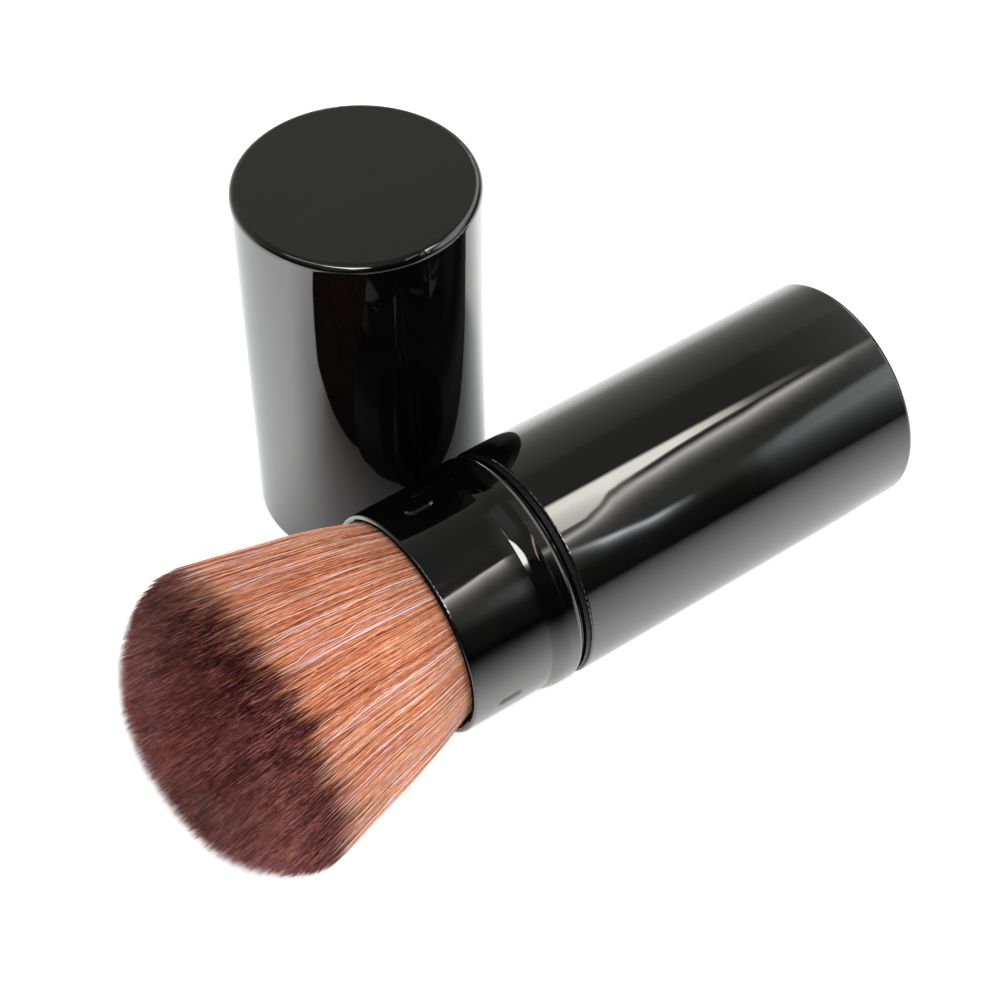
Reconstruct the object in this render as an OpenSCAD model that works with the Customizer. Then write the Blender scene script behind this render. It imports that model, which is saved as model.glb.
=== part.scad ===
// Retractable powder brush, lying open on a table beside its standing cap.
// Each piece of the brush is drawn upright, with Z running from the closed
// tail to the bristle tips, and lay_down() then puts it on its side.
// The collar slides forward along the handle and draws the bristles in.

/* [Barrel] */
// Outside diameter of the sleeve, the shoulder ring and the cap
barrel_d = 33; // [29:0.5:40]
// Length of the outer sleeve
sleeve_len = 56; // [52:0.5:70]
// Wall of the drawn metal shells
shell_wall = 0.5; // [0.4:0.05:0.7]
// Rounding of the sleeve's closed end
tail_edge_r = 0.9; // [0.8:0.1:2]
// Rounding of a shell's open end
rim_edge_r = 0.3; // [0.1:0.05:0.4]

/* [Liner and plug] */
// Wall of the plastic liner inside the sleeve
liner_wall = 0.7; // [0.5:0.05:1]
// Width of the liner's black band in front of the sleeve
band_w = 0.7; // [0.6:0.1:2]
// Depth of the band below the barrel's surface
band_step = 0.3; // [0.1:0.05:0.5]
// Length of the liner's narrow front bearing
bearing_len = 4; // [3:0.5:6]
// Depth of the two click grooves in the liner
groove_h = 0.25; // [0.1:0.05:0.3]
// Thickness of the plug's disc
plug_t = 2; // [1.5:0.1:3]
// Height of the plug's socket above its disc
socket_h = 5; // [4:0.5:8]
// Wall of the plug's socket
socket_wall = 1.6; // [1.2:0.1:3]
// Thickness of the plug's ribs
plug_rib_t = 1.2; // [0.8:0.1:2]

/* [Collar] */
// Gap between the band and the shoulder ring with the bristles out
collar_gap = 0.3; // [0.2:0.05:0.6]
// Length of the shoulder ring
shoulder_len = 5; // [4:0.1:8]
// Length of the rounded front of the shoulder ring
shoulder_nose = 2.8; // [1.5:0.1:3.5]
// Rounding of the shoulder ring's rear edge
shoulder_edge_r = 1; // [0.1:0.05:1.1]
// Length of the neck in front of the shoulder ring
neck_len = 12.2; // [10:0.2:18]
// Wall of the neck's metal shell
neck_wall = 0.5; // [0.4:0.05:0.6]
// Width of the lip turned in at the neck's mouth
lip_in = 0.2; // [0.1:0.05:0.4]
// Rounding of the lip's outer edge
lip_edge_r = 0.4; // [0.2:0.05:0.4]
// Room between the neck and the cap's bore
cap_fit = 0.1; // [0.05:0.01:0.2]

/* [Neck bumps] */
// Number of bumps that grip the cap
bump_count = 3; // [2:1:6]
// Length of a bump along the neck
bump_len = 4; // [2.5:0.1:6]
// Width of a bump
bump_w = 1.8; // [1:0.1:2.4]
// Height of a bump
bump_h = 0.25; // [0.1:0.05:0.4]
// Distance from the mouth to the middle of a bump
bump_back = 5.9; // [4:0.1:8]
// Turn of the first bump from the top of the lying brush
bump_turn = 17; // [0:1:120]

/* [Guide tube] */
// Wall of the guide tube
guide_wall = 0.8; // [0.6:0.05:1]
// Height of the pads on the ends of its fingers
pad_h = 0.4; // [0.3:0.05:0.6]
// Length of the pads
pad_len = 4; // [3:0.5:5]
// Number of spring fingers at the rear end
finger_count = 6; // [4:1:10]
// Length of the slots between the fingers
slot_len = 14; // [10:1:24]
// Width of a slot
slot_w = 1.6; // [1:0.1:3]
// Running gap of the guide tube in the liner
slide_gap = 0.1; // [0.06:0.01:0.1]
// Gap left at the forward stop
stop_gap = 0.3; // [0.2:0.05:0.5]
// Least gap between the guide tube and the plug, which shortens the travel in a short sleeve
tail_gap = 0.5; // [0.3:0.1:2]
// How far behind the neck's mouth the tips are drawn
draw_in = 2.5; // [1:0.5:4]
// Widening of the guide tube's bore at its mouth
flare_h = 0.9; // [0.6:0.05:1]
// Length of that widening
flare_len = 3.6; // [2:0.2:5]

/* [Stem] */
// Radius of the stem's round core
stem_r = 3.6; // [3:0.1:5]
// Reach of the stem's four ribs from its middle
stem_rib_r = 6; // [5.5:0.1:9]
// Thickness of the stem's ribs
stem_rib_t = 1.4; // [1:0.1:2]
// Radius of the flange under the cup
flange_r = 8.5; // [7:0.5:11]
// Thickness of the flange
flange_t = 1.4; // [1:0.1:2]

/* [Screws] */
// Radius of a screw's shank
shank_r = 1.3; // [1:0.05:1.6]
// Length of a screw's shank
shank_len = 11; // [8:0.5:14]
// Radius of a screw's head
screw_head_r = 2.6; // [2.2:0.1:3]
// Height of a screw's head
screw_head_h = 1.2; // [1:0.1:1.3]
// Radius of the driver recess
drive_r = 1.1; // [0.8:0.05:1.3]
// Depth of the driver recess
drive_h = 0.7; // [0.5:0.05:0.8]

/* [Bristle cup] */
// Gap between the cup and the guide tube
cup_gap = 0.3; // [0.2:0.05:0.5]
// Wall of the cup
cup_wall = 0.4; // [0.3:0.05:0.6]
// Height of the cup
cup_h = 10; // [8:0.5:12]
// Rounding of the cup's closed end
cup_edge_r = 1; // [0.7:0.1:2]
// Distance from the cup's rim to the neck's mouth
cup_back = 6; // [5:0.2:8]
// Thickness of the slice of resin that the strands stand on
slice_t = 1; // [0.6:0.1:1.5]
// Free depth of the cup in front of the resin
cup_free = 2; // [1:0.1:3]

/* [Bristles] */
// Length of the bristles in front of the neck
head_len = 37.5; // [32:0.5:42]
// Largest radius of the spread bristles
head_r = 22.2; // [18:0.1:25]
// Distance from the mouth to the widest place
head_wide = 25.5; // [18:0.5:28]
// How far the tips of the upper bristles sink under their own weight
head_sag = 2.8; // [0:0.1:4]
// Distance from the mouth to where a strand is thickest
strand_bend = 12.5; // [9:0.5:15]
// Rings of strands round the middle one
strand_rings = 10; // [9:1:10]
// Half thickness of a strand at its root
root_strand_r = 0.44; // [0.3:0.02:0.48]
// Half thickness of a strand where it is thickest
full_strand_r = 0.72; // [0.5:0.02:0.8]
// Unevenness of the strands' tips
ragged = 0.4; // [0:0.05:0.5]
// Gap between the lowest strands and the table
table_gap = 0.3; // [0.2:0.05:1]

/* [Cap] */
// Room in the cap in front of the bristles
cap_room = 6.6; // [2:0.1:8]
// Rounding of the cap's closed end
cap_edge_r = 1; // [0.8:0.1:2]
// Rounding of the cap's mouth
cap_rim_r = 0.45; // [0.2:0.05:0.45]
// Gap between the standing cap and the lying barrel
cap_aside = 3.9; // [2:0.1:20]
// Distance along the brush from its tail to the cap's middle
cap_along = 55.2; // [20:0.2:90]

/* [Hidden] */
$fn = 96;

// Overrun of every cut past the face that it opens
cut = 0.5;
// Room between the outermost roots and the cup's bore
root_room = 0.75;
// Room between the outermost strands and the lip
mouth_room = 0.75;
// Depth of the roots in the resin
root_sink = 0.2;
// Part of a strand's free length from its thickest place to where its tip begins
taper_share = 0.75;
// Part of the barrel's radius beyond which the table presses the bristles up
press_share = 0.38;
// Sideways spread of the lowest bristles
splay_share = 0.16;
// Sideways narrowing of the whole spread
pinch_share = 0.05;
// Flatness of the domed tips in the middle, and roundness towards their rim
dome_flat = 3.3;
dome_round = 1.45;
// Turn of each ring of strands from the ring inside it
ring_turn = 23;
// Seed of the strands' unevenness
ragged_seed = 7;

// Radii, from the outside in
barrel_r = barrel_d / 2;
liner_r = barrel_r - shell_wall;
liner_bore_r = liner_r - liner_wall;
pad_r = liner_bore_r - slide_gap;
guide_r = pad_r - pad_h;
guide_bore_r = guide_r - guide_wall;
bearing_r = guide_r + slide_gap;
cup_r = guide_bore_r - cup_gap;
cup_bore_r = cup_r - cup_wall;
neck_r = barrel_r - shell_wall - cap_fit;
neck_bore_r = neck_r - neck_wall;
lip_r = neck_bore_r - lip_in;
root_r = cup_bore_r - root_room;
mouth_r = lip_r - mouth_room;

// Places along the brush, from the tail
band_z = sleeve_len + band_w;
shoulder_z = band_z + collar_gap;
neck_z = shoulder_z + shoulder_len;
mouth_z = neck_z + neck_len;
guide_end_z = mouth_z - neck_wall;
cup_rim_z = mouth_z - cup_back;
cup_z = cup_rim_z - cup_h;
root_z = cup_rim_z - cup_free;
plug_z = shell_wall + plug_t;
bearing_z = band_z - bearing_len;
travel = min(head_len + draw_in, bearing_z - stop_gap - pad_len - plug_z - tail_gap);
pad_z = bearing_z - stop_gap - travel - pad_len;

// Strands, each as its share of the radius, its turn and its number
strands = [for (k = [0 : strand_rings])
              for (j = [0 : max(1, 6 * k) - 1])
                  [k / strand_rings, 360 * j / max(1, 6 * k) + k * ring_turn, 3 * k * max(0, k - 1) + j]];
unevenness = rands(-1, 1, 3 * len(strands), ragged_seed);
press_from = press_share * barrel_r;

// Lets a point of the bristles sag, presses it up from the table and spreads it sideways
function pressed(p) =
    let (free = max(0, p.z - mouth_z),
         grip = min(1, free / strand_bend),
         sag = head_sag * pow(free / head_len, 2),
         scale = (barrel_r - table_gap - press_from - sag) / (head_r + full_strand_r - press_from),
         deep = max(0, -p.x - press_from),
         low = max(0, -p.x) / head_r)
    [p.x - sag + grip * deep * (1 - scale),
     p.y * (1 + grip * (splay_share * low - pinch_share)),
     p.z];

// Three points round a strand, with a flat side outwards
function strand_ring(mid_r, turn, z, r) =
    [for (a = [60, 180, 300])
        pressed([(mid_r + r * cos(a)) * cos(turn) - r * sin(a) * sin(turn),
                 (mid_r + r * cos(a)) * sin(turn) + r * sin(a) * cos(turn),
                 z])];

// Points of a strand: rings at its root, the mouth, its thickest place and its taper, then its tip
function strand_points(s) =
    let (share = s[0],
         turn = s[1],
         end_r = share * head_r,
         end_len = head_wide + (head_len - head_wide) * pow(1 - pow(share, dome_flat), 1 / dome_round)
                   - ragged * (1 + unevenness[3 * s[2]]),
         end_turn = turn + atan2(ragged * unevenness[3 * s[2] + 1], head_r),
         bend_r = share * (mouth_r + (head_r - mouth_r) * strand_bend / end_len),
         taper_len = strand_bend + (end_len - strand_bend) * taper_share,
         taper_r = bend_r + (end_r - bend_r) * taper_share)
    concat(strand_ring(share * root_r, turn, root_z - root_sink, root_strand_r),
           strand_ring(share * mouth_r, turn, mouth_z, root_strand_r),
           strand_ring(bend_r, turn, mouth_z + strand_bend, full_strand_r),
           strand_ring(taper_r, turn, mouth_z + taper_len, full_strand_r),
           [pressed([end_r * cos(end_turn), end_r * sin(end_turn), mouth_z + end_len])]);

strand_faces = concat([[0, 1, 2]],
                      [for (i = [0 : 2]) for (j = [0 : 2])
                          each [[3 * i + j, 3 * i + 3 + j, 3 * i + 3 + (j + 1) % 3],
                                [3 * i + j, 3 * i + 3 + (j + 1) % 3, 3 * i + (j + 1) % 3]]],
                      [for (j = [0 : 2]) [9 + j, 12, 9 + (j + 1) % 3]]);

// Cap and places on the table
head_points = [for (s = strands) each strand_points(s)];
head_side = -min([for (p = head_points) p.y]);
head_tip_z = max([for (p = head_points) p.z]);
cap_h = neck_len + head_len + cap_room + shell_wall;
tail_x = head_tip_z / 2;
brush_y = (head_side - barrel_d - cap_aside - barrel_r) / 2;
cap_x = tail_x - cap_along;
cap_y = brush_y + barrel_d + cap_aside;

// Lays an upright piece of the brush on its side, with the bristles towards -X
module lay_down() {
    translate([tail_x, brush_y, barrel_r])
        rotate([0, -90, 0])
            children();
}

// Round solid between two heights
module disc(r, from_z, to_z) {
    translate([0, 0, from_z])
        cylinder(r = r, h = to_z - from_z);
}

// Half section of a round solid with a rounded foot and a rounded rim
module half_section(r, h, foot_r, rim_r) {
    translate([0, foot_r])
        square([r, h - foot_r - rim_r]);
    square([r - foot_r, h / 2]);
    translate([0, h / 2])
        square([r - rim_r, h / 2]);
    if (foot_r > 0)
        translate([r - foot_r, foot_r])
            circle(r = foot_r);
    if (rim_r > 0)
        translate([r - rim_r, h - rim_r])
            circle(r = rim_r);
}

// Drawn metal cup with a closed rounded foot and an open rounded rim
module drawn_cup(r, h, wall, foot_r, rim_r) {
    rotate_extrude()
        difference() {
            half_section(r, h, foot_r, rim_r);
            translate([0, wall])
                half_section(r - wall, h, foot_r - wall, 0);
        }
}

module outer_sleeve() {
    color("#17181a")
        lay_down()
            drawn_cup(barrel_r, sleeve_len, shell_wall, tail_edge_r, rim_edge_r);
}

module sleeve_liner() {
    color("#0b0b0c")
        lay_down()
            difference() {
                union() {
                    translate([0, 0, shell_wall])
                        rotate_extrude()
                            half_section(liner_r, sleeve_len - shell_wall, tail_edge_r - shell_wall, 0);
                    disc(barrel_r - band_step, sleeve_len, band_z);
                }
                disc(liner_bore_r, shell_wall - cut, bearing_z);
                disc(bearing_r, bearing_z - cut, band_z + cut);
                for (z = [pad_z, pad_z + travel])
                    disc(liner_bore_r + groove_h, z - stop_gap, z + pad_len);
            }
}

module base_plug() {
    color("#1b1b1c")
        lay_down()
            difference() {
                union() {
                    disc(liner_bore_r, shell_wall, plug_z);
                    disc(stem_r + socket_wall, plug_z - cut, plug_z + socket_h);
                    for (a = [45 : 90 : 315])
                        rotate(a)
                            translate([stem_r, -plug_rib_t / 2, plug_z - cut])
                                cube([stem_r + socket_wall, plug_rib_t, socket_h / 2 + cut]);
                }
                disc(stem_r, plug_z, plug_z + socket_h + cut);
                disc(shank_r, shell_wall - cut, plug_z + cut);
                disc(screw_head_r, shell_wall - cut, shell_wall + screw_head_h);
            }
}

module stem() {
    color("#1b1b1c")
        lay_down()
            difference() {
                union() {
                    disc(stem_r, plug_z, cup_z);
                    disc(flange_r, cup_z - flange_t, cup_z);
                    for (a = [0, 90])
                        rotate(a)
                            translate([-stem_rib_r, -stem_rib_t / 2, plug_z + socket_h])
                                cube([2 * stem_rib_r, stem_rib_t, cup_z - flange_t / 2 - plug_z - socket_h]);
                }
                disc(shank_r, plug_z - cut, shell_wall + screw_head_h + shank_len + cut);
                disc(shank_r, cup_z + cup_wall - shank_len - cut, cup_z + cut);
            }
}

// Screw with its head down at z = 0 and a recess in its head
module screw() {
    difference() {
        union() {
            disc(screw_head_r, 0, screw_head_h);
            disc(shank_r, 0, screw_head_h + shank_len);
        }
        disc(drive_r, -cut, drive_h);
    }
}

module stem_screws() {
    color("#8d9096")
        lay_down() {
            translate([0, 0, shell_wall])
                screw();
            translate([0, 0, cup_z + cup_wall + screw_head_h])
                mirror([0, 0, 1])
                    screw();
        }
}

module brush_cup() {
    color("#24262a")
        lay_down()
            difference() {
                translate([0, 0, cup_z])
                    drawn_cup(cup_r, cup_h, cup_wall, cup_edge_r, cup_wall / 2);
                disc(shank_r, cup_z - cut, cup_z + cup_wall + cut);
            }
}

module root_potting() {
    floor_z = cup_z + cup_wall;
    color("#c9a36b")
        lay_down()
            difference() {
                translate([0, 0, floor_z])
                    rotate_extrude()
                        half_section(cup_bore_r, root_z - slice_t - floor_z, cup_edge_r - cup_wall, 0);
                disc(screw_head_r, cup_z, floor_z + screw_head_h);
            }
}

module bristles() {
    color("#b5714f")
        lay_down()
            union() {
                disc(cup_bore_r, root_z - slice_t, root_z);
                for (s = strands)
                    polyhedron(points = strand_points(s), faces = strand_faces);
            }
}

// Round bar with round ends, lying along Z round its middle
module capsule(r, straight) {
    rotate_extrude()
        intersection() {
            union() {
                translate([0, -straight / 2])
                    square([r, straight]);
                for (side = [-1, 1])
                    translate([0, side * straight / 2])
                        circle(r = r);
            }
            translate([0, -straight / 2 - r])
                square([r, straight + 2 * r]);
        }
}

// Bump whose crown stands bump_h above the neck
module neck_bump() {
    round_r = (bump_w * bump_w / 4 + bump_h * bump_h) / (2 * bump_h);
    translate([neck_r + bump_h - round_r, 0, mouth_z - bump_back])
        capsule(round_r, bump_len - bump_w);
}

module neck_shell() {
    color("#17181a")
        lay_down()
            difference() {
                union() {
                    translate([0, 0, shoulder_z])
                        rotate_extrude()
                            half_section(neck_r, mouth_z - shoulder_z, 0, lip_edge_r);
                    for (i = [0 : bump_count - 1])
                        rotate(bump_turn + 360 * i / bump_count)
                            neck_bump();
                }
                disc(neck_bore_r, shoulder_z - cut, guide_end_z);
                disc(lip_r, guide_end_z - cut, mouth_z + cut);
            }
}

module shoulder_ring() {
    rise = barrel_r - neck_r;
    nose_arc_r = (shoulder_nose * shoulder_nose + rise * rise) / (2 * rise);
    nose_z = neck_z - shoulder_nose;
    color("#17181a")
        lay_down()
            rotate_extrude() {
                translate([neck_r, shoulder_z + shoulder_edge_r])
                    square([rise, nose_z - shoulder_z - shoulder_edge_r]);
                if (shoulder_edge_r < rise)
                    translate([neck_r, shoulder_z])
                        square([rise - shoulder_edge_r, nose_z - shoulder_z]);
                intersection() {
                    translate([barrel_r - shoulder_edge_r, shoulder_z + shoulder_edge_r])
                        circle(r = shoulder_edge_r);
                    translate([neck_r, shoulder_z])
                        square([rise, 2 * shoulder_edge_r]);
                }
                intersection() {
                    translate([barrel_r - nose_arc_r, nose_z])
                        circle(r = nose_arc_r);
                    translate([neck_r, nose_z])
                        square([rise, shoulder_nose]);
                }
            }
}

// Slot with a round end, open at the guide tube's rear
module finger_slot() {
    translate([0, -slot_w / 2, pad_z - cut])
        cube([pad_r + cut, slot_w, slot_len + cut]);
    translate([0, 0, pad_z + slot_len])
        rotate([0, 90, 0])
            cylinder(r = slot_w / 2, h = pad_r + cut);
}

module guide_tube() {
    flare_slope = flare_h / flare_len;
    color("#0b0b0c")
        lay_down()
            difference() {
                union() {
                    disc(pad_r, pad_z, pad_z + pad_len);
                    disc(guide_r, pad_z, shoulder_z + cut);
                    disc(neck_bore_r, shoulder_z, guide_end_z);
                }
                disc(guide_bore_r, pad_z - cut, guide_end_z + cut);
                translate([0, 0, guide_end_z - flare_len])
                    cylinder(r1 = guide_bore_r, r2 = guide_bore_r + flare_slope * (flare_len + cut),
                             h = flare_len + cut);
                for (i = [0 : finger_count - 1])
                    rotate(360 * i / finger_count)
                        finger_slot();
            }
}

module cap_shell() {
    color("#17181a")
        translate([cap_x, cap_y, cap_h])
            mirror([0, 0, 1])
                drawn_cup(barrel_r, cap_h, shell_wall, cap_edge_r, cap_rim_r);
}

outer_sleeve();
sleeve_liner();
base_plug();
stem();
stem_screws();
brush_cup();
root_potting();
bristles();
neck_shell();
shoulder_ring();
guide_tube();
cap_shell();
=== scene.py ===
import math

import bpy
import numpy as np
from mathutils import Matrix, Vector
from mathutils.kdtree import KDTree


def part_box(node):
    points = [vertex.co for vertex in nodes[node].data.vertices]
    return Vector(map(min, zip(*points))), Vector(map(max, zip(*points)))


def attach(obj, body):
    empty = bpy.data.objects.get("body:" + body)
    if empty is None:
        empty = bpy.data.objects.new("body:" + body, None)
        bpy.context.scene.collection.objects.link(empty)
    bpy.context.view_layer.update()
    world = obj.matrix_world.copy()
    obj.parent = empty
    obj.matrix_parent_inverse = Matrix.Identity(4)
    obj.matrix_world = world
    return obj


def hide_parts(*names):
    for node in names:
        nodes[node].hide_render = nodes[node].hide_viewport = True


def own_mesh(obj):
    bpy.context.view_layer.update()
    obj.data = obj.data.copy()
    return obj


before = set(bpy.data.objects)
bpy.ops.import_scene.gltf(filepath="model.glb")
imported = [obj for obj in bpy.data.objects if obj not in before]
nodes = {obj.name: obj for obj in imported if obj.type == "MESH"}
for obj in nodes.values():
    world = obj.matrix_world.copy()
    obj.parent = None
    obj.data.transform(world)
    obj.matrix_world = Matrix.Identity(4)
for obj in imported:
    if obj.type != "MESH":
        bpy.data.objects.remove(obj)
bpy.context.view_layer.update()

mm = 0.001

# The brush's own places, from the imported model
sleeveLow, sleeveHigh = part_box("outer_sleeve")
neckLow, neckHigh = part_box("neck_shell")
tailX = sleeveHigh.x
mouthX = neckLow.x
barrelR = (sleeveHigh.y - sleeveLow.y) / 2
axisY = (sleeveHigh.y + sleeveLow.y) / 2
axisZ = (sleeveHigh.z + sleeveLow.z) / 2
print("frame loaded, mouth at", round(mouthX, 5), "axis at", round(axisY, 5), round(axisZ, 5))


def deselectAll():
    bpy.ops.object.select_all(action="DESELECT")


# Camera: its place is measured from the middle of the tail, on the floor
cameraSetup = {
    "place": (-0.1738227, -0.1594097, 0.2510),
    "heading": (0.5855, 0.8106),
    "pitch": math.radians(48.24),
    "lens": 82.6,
    "sensor": 36,
    "clip": (0.01, 20),
}


def makeCamera(setup):
    data = bpy.data.cameras.new("camera")
    data.lens = setup["lens"]
    data.sensor_width = setup["sensor"]
    data.clip_start, data.clip_end = setup["clip"]
    camera = bpy.data.objects.new("camera", data)
    bpy.context.scene.collection.objects.link(camera)
    camera.location = Vector((tailX, axisY, 0)) + Vector(setup["place"])
    flat = math.cos(setup["pitch"])
    across, ahead = setup["heading"]
    look = Vector((across * flat, ahead * flat, -math.sin(setup["pitch"])))
    camera.rotation_euler = look.to_track_quat("-Z", "Y").to_euler()
    bpy.context.scene.camera = camera


makeCamera(cameraSetup)
bpy.context.scene.view_settings.view_transform = "Standard"
print("camera placed")


# Small helpers for node trees
class Tree:
    def __init__(self, nodeTree):
        self.tree = nodeTree
        self.tree.nodes.clear()

    def node(self, kind, **values):
        made = self.tree.nodes.new(kind)
        for name, value in values.items():
            setattr(made, name, value)
        return made

    def link(self, a, b):
        self.tree.links.new(a, b)

    def put(self, socket, value):
        if isinstance(value, bpy.types.NodeSocket):
            self.link(value, socket)
        else:
            socket.default_value = value

    def math(self, operation, a, b=0.0):
        made = self.node("ShaderNodeMath", operation=operation)
        self.put(made.inputs[0], a)
        self.put(made.inputs[1], b)
        return made.outputs[0]

    def ramp(self, value, low, high, toLow=0.0, toHigh=1.0, smooth=True):
        kind = "SMOOTHSTEP" if smooth else "LINEAR"
        made = self.node("ShaderNodeMapRange", interpolation_type=kind)
        self.put(made.inputs["Value"], value)
        self.put(made.inputs["From Min"], low)
        self.put(made.inputs["From Max"], high)
        self.put(made.inputs["To Min"], toLow)
        self.put(made.inputs["To Max"], toHigh)
        return made.outputs["Result"]

    def mix(self, factor, a, b, blend="MIX"):
        made = self.node("ShaderNodeMix", data_type="RGBA", blend_type=blend)
        self.put(made.inputs[0], factor)
        self.put(made.inputs[6], a)
        self.put(made.inputs[7], b)
        return made.outputs[2]

    def colours(self, value, stops):
        made = self.node("ShaderNodeValToRGB")
        self.put(made.inputs[0], value)
        elements = made.color_ramp.elements
        while len(elements) < len(stops):
            elements.new(1.0)
        for element, (at, colour) in zip(elements, stops):
            element.position = at
            element.color = colour if len(colour) == 4 else (*colour, 1)
        return made

    def objectPlace(self, scale=(1, 1, 1)):
        place = self.node("ShaderNodeTexCoord")
        made = self.node("ShaderNodeMapping")
        self.link(place.outputs["Object"], made.inputs["Vector"])
        made.inputs["Scale"].default_value = scale
        return made.outputs["Vector"]

    def group(self, groupTree, **values):
        made = self.node("ShaderNodeGroup", node_tree=groupTree)
        for name, value in values.items():
            self.put(made.inputs[name], value)
        return made.outputs[0]

    def bump(self, height, distance, strength):
        made = self.node("ShaderNodeBump")
        self.link(height, made.inputs["Height"])
        made.inputs["Distance"].default_value = distance
        made.inputs["Strength"].default_value = strength
        return made.outputs[0]

    def principled(self, **values):
        shader = self.node("ShaderNodeBsdfPrincipled")
        for name, value in values.items():
            self.put(shader.inputs[name.replace("_", " ")], value)
        out = self.node("ShaderNodeOutputMaterial")
        self.link(shader.outputs[0], out.inputs["Surface"])


def newMaterial(name):
    material = bpy.data.materials.new(name)
    material.use_nodes = True
    return material, Tree(material.node_tree)


def newGroup(name, inputs, output):
    tree = bpy.data.node_groups.new(name, "ShaderNodeTree")
    t = Tree(tree)
    for socketName, kind in inputs:
        tree.interface.new_socket(name=socketName, in_out="INPUT", socket_type=kind)
    tree.interface.new_socket(name=output, in_out="OUTPUT", socket_type="NodeSocketFloat")
    return t, t.node("NodeGroupInput"), t.node("NodeGroupOutput")


# Studio: a white floor, a pale wall behind, a dark room in front, cloth panels and windows overhead.
# Directions are told by x, along the brush, and by the turn about it: 0 is overhead, 90 is level in front
studio = {
    "frontLight": 1.0,
    "backLight": 0.60,
    "warm": (1.0, 1.0, 0.92),
    "plainEdge": 0.8,       # plain light goes from front to back between these sines
    "deepFrom": 1.5,        # the glossy depth past which a ray has met two mirrors
    "deepBounce": 0.15,     # what is left of the room in the mirror image of a mirror
    "skyBands": [(-90, 0.86), (-83, 0.64), (-77, 0.53), (-70, 0.44), (-62, 0.36), (-53, 0.31),
                 (-44, 0.26), (-36, 0.18), (-26, 0.145), (-8, 0.15), (34, 0.12), (47, 0.20),
                 (57, 0.20), (69, 0.045), (90, 0.015)],
}
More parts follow.
